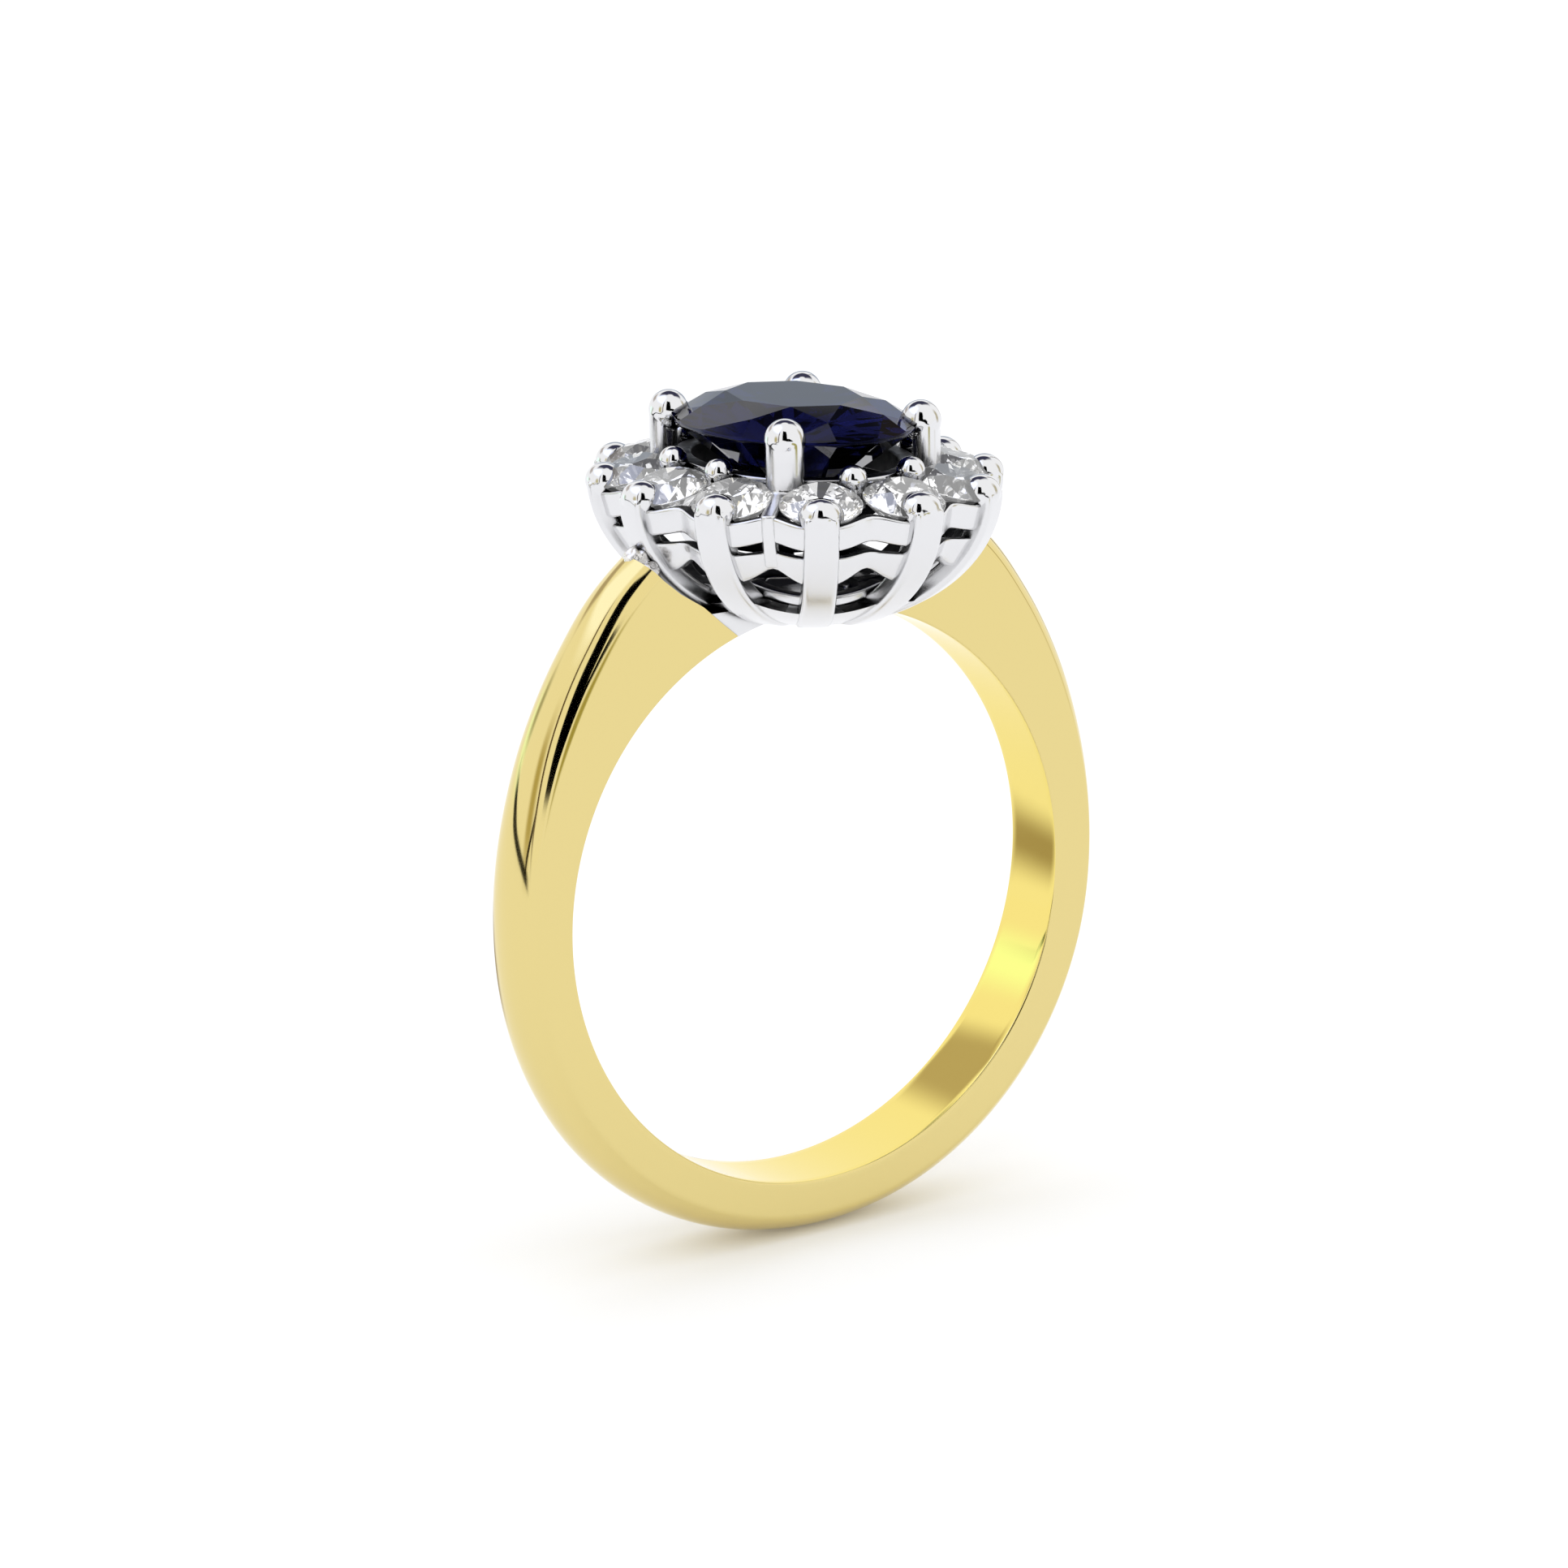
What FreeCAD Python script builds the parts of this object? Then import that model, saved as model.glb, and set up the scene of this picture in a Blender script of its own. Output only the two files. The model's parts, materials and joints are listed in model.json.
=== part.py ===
"""Oval cluster engagement ring: yellow shank, white basket head, oval centre stone and a halo of twelve.

Frame: millimetres, origin at the centre of the finger bore, finger axis along Y, head on +Z.
The halo is laid out by an oval parameter T in degrees: a place is (semi_x * cos T, semi_y * sin T).
Writes one STEP file per sub-part to parts/.
"""
import FreeCAD, Part
import math
import os

V = FreeCAD.Vector

# Shank: a finger ring of 16.5 mm inside diameter with tapering shoulders
BORE_RADIUS = 8.25
SHANK_WIDTH = 2.13            # width along the finger at the height of the bore's centre
WIDTH_LOSS = 0.04             # the flat side faces close in by this much per mm of height
# degrees from the palm side, thickness at the crest, thickness at the edge of the side face
SHANK_STATIONS = (
    (0, 1.63, 1.05),
    (25, 1.66, 1.06),
    (50, 1.66, 1.09),
    (72, 1.61, 1.15),
    (92, 1.61, 1.22),
    (110, 1.90, 1.42),
    (124, 2.32, 1.77),
    (136, 2.78, 2.23),
    (147, 3.28, 2.77),
    (163, 3.68, 3.35),
)
DOME_SPREAD = 1.10            # full width of the dome's ellipse, as a share of the shank's width
BORE_EDGE_ROUNDING = 0.06
BORE_ALLOWANCE = 0.6          # extra metal inside the bore that the bore cut takes away
DOME_POINTS = 9               # points across the dome, and steps round the ring, of its surface
SHANK_STEPS = 50
SCOOP_RADIUS = 6.05           # the shoulders end in a hollow cut that follows the basket
SCOOP_CENTRE_X = 0.82
SCOOP_CENTRE_Z = 14.16

# Basket: a bowl whose outside is a superellipse from the rim down to the finger
RIM_SEMI_X = 5.55
RIM_SEMI_Y = 6.45
FOOT_SEMI_X = 0.95
FOOT_SEMI_Y = 1.60
RIM_Z = 11.90
FOOT_Z = 8.00
BOWL_POWER = 1.85

# Halo stones and the claw in front of each one
HALO_T = (0, 28, 58.5, 90, 121.5, 152, 180, 208, 238.5, 270, 301.5, 332)
HALO_SEMI_X = 4.20
HALO_SEMI_Y = 5.20
HALO_Z = 12.08
HALO_STONE_RADIUS = 1.13
HALO_TILT = 15.0              # each stone leans outwards
CLAW_WIDTH = 0.95
CLAW_THICKNESS = 0.62
CLAW_BEAD_RADIUS = 0.48
CLAW_BEAD_INSET = 0.42
CLAW_EDGE_ROUNDING = 0.12

# Gallery rails between the claws, scalloped to the stones
RAIL_INSET = 0.20             # set back from the claws' outer faces
RAIL_THICKNESS = 0.45
CUSP_DEPTH = 0.45
UPPER_RAIL_Z = (10.90, 11.62)
UPPER_RAIL_RISE = (0.26, 0.26)
MID_RAIL_Z = (9.80, 10.70)
MID_RAIL_RISE = (0.60, 0.15)
LOWER_RING_Z = (9.05, 9.40)
LOWER_RING_SEMI = (3.20, 4.05)
LOWER_RING_THICKNESS = 0.50

# Head base: the dish that meets the finger and the foot that the shank is soldered to
BASE_INSET = 0.26
BASE_LEVELS_Z = (8.05, 8.25, 8.45, 8.65, 8.88)
BASE_HOLE = (1.60, 2.10)
FOOT_BLOCK_HALF_TOP = 3.45
FOOT_BLOCK_HALF_BOTTOM = 2.50
FOOT_BLOCK_Z = (7.80, 8.60)
FOOT_BLOCK_WIDTH = 1.76

# Centre stone, its four claws and the ring under it
CENTRE_SEMI_X = 3.00
CENTRE_SEMI_Y = 4.00
CENTRE_GIRDLE_Z = 13.55
CENTRE_CROWN = 0.65
CENTRE_PAVILION = 2.55
CENTRE_GIRDLE = 0.10
CENTRE_TABLE = 0.563          # table width over stone width
CENTRE_CLAW_X = 2.36
CENTRE_CLAW_Y = 2.98
CENTRE_CLAW_WIDTH = 1.04
CENTRE_CLAW_THICKNESS = 0.69
CENTRE_CLAW_TOP_Z = 13.60
CENTRE_BEAD_RADIUS = 0.55
CENTRE_BEAD_INSET = 0.16
CENTRE_CLAW_ROUNDING = 0.22
STRUT_WIDTH = 0.42
STRUT_BENDS_Z = (10.70, 11.60)
STRUT_TOP_Z = 12.35
STRUT_OUTSET = 0.12           # the strut stands proud of the rails' cusps by this much
SEAT_SEMI = (3.02, 4.02)
SEAT_THICKNESS = 0.50
SEAT_Z = (11.75, 12.50)

# Small beads that hold the inner edges of the halo stones
BEAD_T = (15, 73.5, 106.5, 165, 195, 253.5, 286.5, 345)
BEAD_SEMI_X = 3.38
BEAD_SEMI_Y = 4.35
BEAD_Z = 12.56
BEAD_RADIUS = 0.40
BEAD_POST_RADIUS = 0.34
BEAD_POST_FOOT_Z = 11.80

# Solder at the shank's two tips: radius and centre of each lump, on the +X side
SOLDER_LUMPS = (
    (0.46, 5.18, 0.06, 10.16),
    (0.36, 5.08, -0.32, 9.90),
    (0.34, 5.02, 0.34, 9.84),
)

# Round brilliant proportions, as parts of the stone's radius
STAR_REACH = 0.56             # how far each star facet reaches from table edge to girdle
LOWER_HALF_RADIUS = 0.22      # where the lower girdle facets end above the culet
HALO_TABLE = 0.57
HALO_CROWN = 0.32
HALO_PAVILION = 0.86
HALO_GIRDLE = 0.05


def at(semi_x, semi_y, t, z=0.0):
    """Place at oval parameter t, in degrees, on an oval of the given semi-axes."""
    angle = math.radians(t)
    return V(semi_x * math.cos(angle), semi_y * math.sin(angle), z)


def bowl(z, inset=0.0):
    """Semi-axes of the basket's outside at height z, moved in by inset."""
    depth = (RIM_Z - min(z, RIM_Z)) / (RIM_Z - FOOT_Z)
    spread = (1 - depth ** BOWL_POWER) ** (1 / BOWL_POWER)
    semi_x = FOOT_SEMI_X + (RIM_SEMI_X - FOOT_SEMI_X) * spread
    semi_y = FOOT_SEMI_Y + (RIM_SEMI_Y - FOOT_SEMI_Y) * spread
    return semi_x - inset, semi_y - inset


def curve(points, start=None, end=None):
    """Smooth edge through points, with end tangents where given."""
    spline = Part.BSplineCurve()
    if start is None:
        spline.interpolate(points)
    else:
        spline.interpolate(Points=points, InitialTangent=start, FinalTangent=end)
    return spline.toShape()


def closed_solid(faces):
    """Solid from faces that meet edge to edge."""
    shell = Part.Shell(faces)
    shell.sewShape()
    solid = Part.Solid(shell)
    if solid.Volume < 0:
        solid.reverse()
    return solid


def largest(shape):
    """The biggest solid of a shape, without the crumbs that a cut leaves."""
    return max(shape.Solids, key=lambda solid: solid.Volume)


def cut_all(shape, tools):
    """The shape with every tool taken away."""
    for tool in tools:
        shape = shape.cut(tool)
    return shape


def oval_wire(semi_x, semi_y, z):
    """Closed oval in a level plane."""
    if semi_x > semi_y:
        ellipse = Part.Ellipse(V(semi_x, 0, z), V(0, semi_y, z), V(0, 0, z))
    else:
        ellipse = Part.Ellipse(V(0, semi_y, z), V(-semi_x, 0, z), V(0, 0, z))
    return Part.Wire(ellipse.toShape())


def oval_prism(semi, z_bottom, z_top):
    """Upright oval column."""
    face = Part.Face(oval_wire(semi[0], semi[1], z_bottom))
    return face.extrude(V(0, 0, z_top - z_bottom))


def bore_tool():
    """The finger: everything inside the bore."""
    return Part.makeCylinder(BORE_RADIUS, 30, V(0, -15, 0), V(0, 1, 0))


def scoop_tools():
    """The two hollow cuts that end the shoulders."""
    centres = (V(side * SCOOP_CENTRE_X, -5, SCOOP_CENTRE_Z) for side in (-1, 1))
    return [Part.makeCylinder(SCOOP_RADIUS, 10, centre, V(0, 1, 0)) for centre in centres]


# ---------------------------------------------------------------- stones

def brilliant_solid(scale_x, scale_y, table, crown, pavilion, girdle):
    """Brilliant cut of eight-fold symmetry on its girdle plane, stretched to an oval where asked."""
    star = table + (1 - table) * STAR_REACH
    half_step = math.cos(math.radians(22.5))
    star_z = crown * (1 - (star * half_step - table) / (1 - table))
    lower_z = -pavilion * (1 - LOWER_HALF_RADIUS * half_step)

    def ring(radius, z, first):
        return [at(scale_x * radius, scale_y * radius, first + 45 * i, z) for i in range(8)]

    table_ring = ring(table, crown, 0)
    stars = ring(star, star_z, 22.5)
    top_main = ring(1, 0, 0)
    top_half = ring(1, 0, 22.5)
    low_main = ring(1, -girdle, 0)
    low_half = ring(1, -girdle, 22.5)
    lowers = ring(LOWER_HALF_RADIUS, lower_z - girdle, 22.5)
    culet = V(0, 0, -girdle - pavilion)
    outlines = [table_ring]
    for i in range(8):
        n = (i + 1) % 8
        outlines += [
            [table_ring[n], table_ring[i], stars[i]],
            [table_ring[i], stars[i - 1], top_main[i], stars[i]],
            [stars[i], top_main[i], top_half[i]],
            [stars[i], top_half[i], top_main[n]],
            [top_main[i], low_main[i], low_half[i], top_half[i]],
            [top_half[i], low_half[i], low_main[n], top_main[n]],
            [low_half[i], low_main[i], lowers[i]],
            [low_main[n], low_half[i], lowers[i]],
            [low_main[i], lowers[i - 1], culet, lowers[i]],
        ]
    faces = [Part.Face(Part.makePolygon(outline + outline[:1])) for outline in outlines]
    return closed_solid(faces)


def centre_sapphire():
    stone = brilliant_solid(CENTRE_SEMI_X, CENTRE_SEMI_Y, CENTRE_TABLE,
                            CENTRE_CROWN, CENTRE_PAVILION, CENTRE_GIRDLE)
    stone.translate(V(0, 0, CENTRE_GIRDLE_Z))
    return stone


def outward(t):
    """Level direction in which the basket flares at t."""
    direction = at(RIM_SEMI_X - FOOT_SEMI_X, RIM_SEMI_Y - FOOT_SEMI_Y, t)
    return direction.normalize()


def halo_diamond(t):
    radius = HALO_STONE_RADIUS
    stone = brilliant_solid(radius, radius, HALO_TABLE, HALO_CROWN * radius,
                            HALO_PAVILION * radius, HALO_GIRDLE * radius)
    lean_axis = V(0, 0, 1).cross(outward(t))
    stone.rotate(V(0, 0, 0), V(0, 0, 1), t)
    stone.rotate(V(0, 0, 0), lean_axis, HALO_TILT)
    stone.translate(at(HALO_SEMI_X, HALO_SEMI_Y, t, HALO_Z))
    return stone


# ---------------------------------------------------------------- shank

def thickness(turn):
    """Crest and side-edge thickness at an angle from the palm side, eased between the stations."""
    turn = abs(turn)
    rows = [(-SHANK_STATIONS[1][0],) + SHANK_STATIONS[1][1:]] + list(SHANK_STATIONS)
    rows.append((2 * rows[-1][0] - rows[-2][0],) + rows[-1][1:])
    i = max(k for k in range(1, len(rows) - 2) if rows[k][0] <= turn)
    before, start, end, after = rows[i - 1:i + 3]
    span = end[0] - start[0]
    p = (turn - start[0]) / span
    values = []
    for n in (1, 2):
        slope_start = (end[n] - before[n]) / (end[0] - before[0]) * span
        slope_end = (after[n] - start[n]) / (after[0] - start[0]) * span
        values.append((2 * p ** 3 - 3 * p ** 2 + 1) * start[n] + (p ** 3 - 2 * p ** 2 + p) * slope_start
                      + (3 * p ** 2 - 2 * p ** 3) * end[n] + (p ** 3 - p ** 2) * slope_end)
    return values


def shank_row(turn):
    """Points across the dome at one angle, and the two inner corners below it."""
    crest, side = thickness(turn)
    angle = math.radians(turn - 90)
    radial = V(math.cos(angle), 0, math.sin(angle))

    def place(radius, across):
        half_width = (SHANK_WIDTH - WIDTH_LOSS * radius * radial.z) / 2
        return radial * radius + V(0, across * half_width, 0)

    edge = BORE_RADIUS + side
    fall = math.sqrt(1 - DOME_SPREAD ** -2)
    rise = (crest - side) / (1 - fall)
    dome = []
    for i in range(DOME_POINTS):
        swing = math.acos(fall) * (2 * i / (DOME_POINTS - 1) - 1)
        spot = place(edge, DOME_SPREAD * math.sin(swing))
        dome.append(spot + radial * (crest - side - rise * (1 - math.cos(swing))))
    inner = BORE_RADIUS - BORE_ALLOWANCE
    return dome, place(inner, -1), place(inner, 1)


def shank(foot):
    last = SHANK_STATIONS[-1][0]
    rows = [shank_row(last * (2 * i / SHANK_STEPS - 1)) for i in range(SHANK_STEPS + 1)]
    surface = Part.BSplineSurface()
    surface.interpolate([row[0] for row in rows])
    dome = surface.toShape()
    sides = [surface.vIso(surface.bounds()[2]).toShape(), surface.vIso(surface.bounds()[3]).toShape()]
    ends = [surface.uIso(surface.bounds()[0]).toShape(), surface.uIso(surface.bounds()[1]).toShape()]
    inner = [curve([row[n] for row in rows]) for n in (1, 2)]
    faces = [dome, Part.makeRuledSurface(inner[0], inner[1])]
    faces += [Part.makeRuledSurface(side, low) for side, low in zip(sides, inner)]
    for end, row in zip(ends, (rows[0], rows[-1])):
        corners = [row[0][-1], row[2], row[1], row[0][0]]
        faces.append(Part.Face(Part.Wire([end] + Part.makePolygon(corners).Edges)))
    body = closed_solid(faces)
    body = largest(cut_all(body, [bore_tool()] + scoop_tools() + [foot]))
    bore_edges = []
    for edge in body.Edges:
        reach = [math.hypot(edge.valueAt(p).x, edge.valueAt(p).z) for p in edge.ParameterRange]
        on_bore = all(abs(r - BORE_RADIUS) < 1e-3 for r in reach)
        if on_bore and edge.Length > BORE_RADIUS:
            bore_edges.append(edge)
    return body.makeFillet(BORE_EDGE_ROUNDING, bore_edges)


# ---------------------------------------------------------------- basket

def cusp_angles():
    """Parameters half-way between neighbouring halo stones."""
    following = HALO_T[1:] + (360,)
    return [(a + b) / 2 for a, b in zip(HALO_T, following)]


def scallop(z, rise, inset):
    """Twelve arcs that bulge at each stone and pinch in, and up by rise, between stones."""
    bulge_x, bulge_y = bowl(z, inset)
    cusp_x, cusp_y = bowl(z + rise, inset + CUSP_DEPTH)
    cusps = [at(cusp_x, cusp_y, t, z + rise) for t in cusp_angles()]
    bulges = [at(bulge_x, bulge_y, t, z) for t in HALO_T]
    return [Part.Arc(cusps[i - 1], bulges[i], cusps[i]).toShape() for i in range(12)]


def scalloped_rail(heights, rises):
    """Closed rail of four-sided section that follows the scallops."""
    bottom_out = scallop(heights[0], rises[0], RAIL_INSET)
    bottom_in = scallop(heights[0], rises[0], RAIL_INSET + RAIL_THICKNESS)
    top_out = scallop(heights[1], rises[1], RAIL_INSET)
    top_in = scallop(heights[1], rises[1], RAIL_INSET + RAIL_THICKNESS)
    faces = []
    for first, second in ((bottom_out, top_out), (top_out, top_in), (top_in, bottom_in),
                          (bottom_in, bottom_out)):
        faces += [Part.makeRuledSurface(a, b) for a, b in zip(first, second)]
    return closed_solid(faces)


def oval_ring(semi, thickness, heights):
    """Plain oval ring of rectangular section."""
    inner = (semi[0] - thickness, semi[1] - thickness)
    return oval_prism(semi, *heights).cut(oval_prism(inner, *heights))


def foot_block():
    """Block under the head whose slanting ends meet the shank."""
    low, high = FOOT_BLOCK_Z
    half = FOOT_BLOCK_WIDTH / 2
    corners = [V(-FOOT_BLOCK_HALF_BOTTOM, -half, low), V(FOOT_BLOCK_HALF_BOTTOM, -half, low),
               V(FOOT_BLOCK_HALF_TOP, -half, high), V(-FOOT_BLOCK_HALF_TOP, -half, high)]
    face = Part.Face(Part.makePolygon(corners + corners[:1]))
    return face.extrude(V(0, FOOT_BLOCK_WIDTH, 0))


def head_base():
    wires = [oval_wire(*bowl(z, BASE_INSET), z) for z in BASE_LEVELS_Z]
    dish = Part.makeLoft(wires, True, False)
    body = dish.fuse(foot_block())
    return largest(cut_all(body, [oval_prism(BASE_HOLE, 7, 9), bore_tool()]))


def claw_profile(length, drop, thickness):
    """Superellipse points from the rim down to the foot, in the claw's own upright plane."""
    points = []
    for i in range(11):
        swing = math.radians(9 * i)
        reach = (length - thickness) * max(math.cos(swing), 0) ** (2 / BOWL_POWER)
        fall = (drop - thickness) * math.sin(swing) ** (2 / BOWL_POWER)
        points.append((reach, RIM_Z - fall))
    return points


def halo_claw(t, neighbours):
    """Claw that climbs the basket to a bead over the outer edge of its stone."""
    start = at(FOOT_SEMI_X, FOOT_SEMI_Y, t)
    flare = at(RIM_SEMI_X, RIM_SEMI_Y, t) - start
    length = flare.Length
    direction = V(flare).normalize()
    drop = RIM_Z - FOOT_Z

    def lift(points):
        return [start + direction * reach + V(0, 0, z) for reach, z in points]

    outside = lift(claw_profile(length, drop, 0))
    inside = lift(claw_profile(length, drop, CLAW_THICKNESS))
    outline = Part.Wire([
        curve(outside),
        Part.makeLine(outside[-1], inside[-1]),
        curve(inside[::-1]),
        Part.makeLine(inside[0], outside[0]),
    ])
    across = V(0, 0, 1).cross(direction) * CLAW_WIDTH
    blade = Part.Face(outline)
    blade.translate(across * -0.5)
    bar = blade.extrude(across)
    rounded = [edge for edge in bar.Edges if edge.Length > drop * 0.75 and is_outer(edge, outside[5])]
    bar = bar.makeFillet(CLAW_EDGE_ROUNDING, rounded)
    bead_centre = start + direction * (length - CLAW_BEAD_INSET) + V(0, 0, RIM_Z)
    bead = Part.makeSphere(CLAW_BEAD_RADIUS, bead_centre)
    return largest(cut_all(bar.fuse(bead), neighbours))


def is_outer(edge, middle):
    """Whether an edge runs along the claw's outer face."""
    return edge.distToShape(Part.Vertex(middle))[0] < CLAW_WIDTH * 0.51


def centre_claw(sign_x, sign_y, neighbours):
    """Claw of the centre stone: bead, upright shaft, and a strut down between two halo stones."""
    shaft_foot = V(sign_x * CENTRE_CLAW_X, sign_y * CENTRE_CLAW_Y, 0)
    direction = V(shaft_foot).normalize()
    side = V(0, 0, 1).cross(direction)
    half_t = CENTRE_CLAW_THICKNESS / 2
    half_w = CENTRE_CLAW_WIDTH / 2

    def corner(depth, across, z):
        return shaft_foot + direction * (depth * half_t) + side * (across * half_w) + V(0, 0, z)

    low = SEAT_Z[0]
    shaft_wire = Part.makePolygon([corner(-1, -1, low), corner(1, -1, low), corner(1, 1, low),
                                   corner(-1, 1, low), corner(-1, -1, low)])
    height = CENTRE_CLAW_TOP_Z - low
    shaft = Part.Face(shaft_wire).extrude(V(0, 0, height))
    upright = [edge for edge in shaft.Edges if edge.Length > height * 0.9]
    shaft = shaft.makeFillet(CENTRE_CLAW_ROUNDING, upright)
    bead = Part.makeSphere(CENTRE_BEAD_RADIUS,
                           shaft_foot - direction * CENTRE_BEAD_INSET + V(0, 0, CENTRE_CLAW_TOP_Z))
    return largest(cut_all(shaft.fuse([bead, strut(sign_x, sign_y)]), neighbours))


def strut(sign_x, sign_y):
    """Lower part of a centre claw: out under the stones, then down along the rails' cusp."""
    cusp = cusp_angles()[1]
    heights = (MID_RAIL_Z[0] + MID_RAIL_RISE[0],) + STRUT_BENDS_Z
    spine = []
    for z in heights:
        semi = bowl(z, RAIL_INSET + CUSP_DEPTH - STRUT_OUTSET)
        spine.append(at(*semi, cusp, z))
    spine.append(V(CENTRE_CLAW_X, CENTRE_CLAW_Y, STRUT_TOP_Z))
    inward = V(CENTRE_CLAW_X, CENTRE_CLAW_Y, 0).normalize() * (RAIL_THICKNESS + 0.05)
    outline = spine + [point - inward for point in spine[::-1]]
    level = [V(sign_x * p.x, sign_y * p.y, p.z) for p in outline]
    side = V(0, 0, 1).cross((level[1] - level[-2]).normalize()) * STRUT_WIDTH
    plates = []
    for i in range(3):
        quad = [level[i], level[i + 1], level[-2 - i], level[-1 - i]]
        plates.append(hexahedron(quad, side))
    return plates[0].fuse(plates[1:])


def hexahedron(quad, side):
    """Block swept sideways, half each way, from four corners; its two wide faces are triangle pairs."""
    near = [corner - side * 0.5 for corner in quad]
    far = [corner + side * 0.5 for corner in quad]
    faces = []
    for ring in (near, far):
        faces += [[ring[0], ring[1], ring[2]], [ring[0], ring[2], ring[3]]]
    for i in range(4):
        n = (i + 1) % 4
        faces.append([near[i], near[n], far[n], far[i]])
    return closed_solid([Part.Face(Part.makePolygon(face + face[:1])) for face in faces])


def halo_bead(t, neighbours):
    """Short post with a round head that holds the inner edges of two halo stones."""
    foot = at(BEAD_SEMI_X, BEAD_SEMI_Y, t, BEAD_POST_FOOT_Z)
    post = Part.makeCylinder(BEAD_POST_RADIUS, BEAD_Z - BEAD_POST_FOOT_Z, foot)
    head = Part.makeSphere(BEAD_RADIUS, V(foot.x, foot.y, BEAD_Z))
    return largest(cut_all(post.fuse(head), neighbours))


def solder_joint(side, neighbours):
    """Lump of white solder between a shoulder's tip and the claw at that end of the head."""
    lumps = [Part.makeSphere(radius, V(side * x, y, z)) for radius, x, y, z in SOLDER_LUMPS]
    return largest(cut_all(lumps[0].fuse(lumps[1:]), neighbours))


def build():
    """Every sub-part by node name."""
    bore = bore_tool()
    diamonds = [halo_diamond(t) for t in HALO_T]
    sapphire = centre_sapphire()
    base = head_base()
    lower_ring = oval_ring(LOWER_RING_SEMI, LOWER_RING_THICKNESS, LOWER_RING_Z)
    seat = oval_ring(SEAT_SEMI, SEAT_THICKNESS, SEAT_Z)
    mid_rail = scalloped_rail(MID_RAIL_Z, MID_RAIL_RISE)
    upper_rail = cut_all(scalloped_rail(UPPER_RAIL_Z, UPPER_RAIL_RISE), diamonds)
    band = shank(foot_block())
    nodes = {
        "shank": band,
        "head_base": base,
        "lower_gallery_ring": lower_ring,
        "mid_gallery_rail": mid_rail,
        "upper_gallery_rail": upper_rail,
        "centre_seat_ring": seat,
        "centre_sapphire": sapphire,
    }
    frame = [bore, base, lower_ring, mid_rail, upper_rail]
    for i, t in enumerate(HALO_T):
        nodes["halo_diamond_%02d" % (i + 1)] = diamonds[i]
        nodes["halo_claw_%02d" % (i + 1)] = halo_claw(t, frame + [diamonds[i]])
    corners = ((1, 1, 1, 2), (-1, 1, 4, 5), (-1, -1, 7, 8), (1, -1, 10, 11))
    for i, (sign_x, sign_y, first, second) in enumerate(corners):
        around = [sapphire, seat, mid_rail, upper_rail, diamonds[first], diamonds[second]]
        nodes["centre_claw_%d" % (i + 1)] = centre_claw(sign_x, sign_y, around)
    for i, t in enumerate(BEAD_T):
        near = sorted(range(12), key=lambda k: abs((HALO_T[k] - t + 180) % 360 - 180))[:2]
        nodes["halo_bead_%d" % (i + 1)] = halo_bead(t, [seat] + [diamonds[k] for k in near])
    nodes["solder_joint_right"] = solder_joint(1, [band, nodes["halo_claw_01"], mid_rail])
    nodes["solder_joint_left"] = solder_joint(-1, [band, nodes["halo_claw_07"], mid_rail])
    return nodes


def main():
    os.makedirs("parts", exist_ok=True)
    for name, shape in build().items():
        solids = shape.Solids
        box = shape.BoundBox
        state = "valid" if shape.isValid() else "NOT VALID"
        print("%-20s %d solid(s) %8.3f mm3  z %.2f to %.2f  %s"
              % (name, len(solids), shape.Volume, box.ZMin, box.ZMax, state))
        single = solids[0] if len(solids) == 1 else Part.makeCompound(solids)
        single.exportStep(os.path.join("parts", name + ".step"))


main()
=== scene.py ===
"""Looks of the oval cluster engagement ring: meshes, materials, light and camera round the CAD frame.

Lengths are millimetres in the row frame until a mesh is made, and metres in Blender.
T is the oval parameter of the halo, in degrees: a place is (semi_x * cos T, semi_y * sin T).
"""
import json
import math

import bmesh
import bpy
from mathutils import Matrix, Vector, noise

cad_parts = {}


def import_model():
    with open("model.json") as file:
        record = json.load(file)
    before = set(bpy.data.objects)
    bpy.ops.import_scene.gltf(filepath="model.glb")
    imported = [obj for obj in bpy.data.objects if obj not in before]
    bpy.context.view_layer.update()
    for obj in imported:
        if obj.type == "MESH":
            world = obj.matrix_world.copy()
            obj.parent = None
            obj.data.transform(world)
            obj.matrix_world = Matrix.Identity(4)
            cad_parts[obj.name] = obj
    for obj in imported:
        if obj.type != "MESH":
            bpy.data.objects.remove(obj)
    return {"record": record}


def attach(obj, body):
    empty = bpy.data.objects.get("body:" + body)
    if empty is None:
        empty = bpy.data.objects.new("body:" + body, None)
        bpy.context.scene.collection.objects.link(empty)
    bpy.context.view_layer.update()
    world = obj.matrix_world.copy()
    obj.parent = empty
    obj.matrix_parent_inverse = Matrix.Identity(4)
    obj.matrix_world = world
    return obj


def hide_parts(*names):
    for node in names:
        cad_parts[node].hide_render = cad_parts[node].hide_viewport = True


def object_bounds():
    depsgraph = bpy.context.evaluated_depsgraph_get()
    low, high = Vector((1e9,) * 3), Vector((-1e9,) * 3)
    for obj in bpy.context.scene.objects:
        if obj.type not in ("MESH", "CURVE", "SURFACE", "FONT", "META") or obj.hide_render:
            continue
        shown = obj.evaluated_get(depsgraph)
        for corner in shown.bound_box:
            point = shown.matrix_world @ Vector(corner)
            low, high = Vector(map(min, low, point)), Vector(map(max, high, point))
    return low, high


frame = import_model()
CAD_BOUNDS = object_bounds()

MM = 0.001

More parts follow.
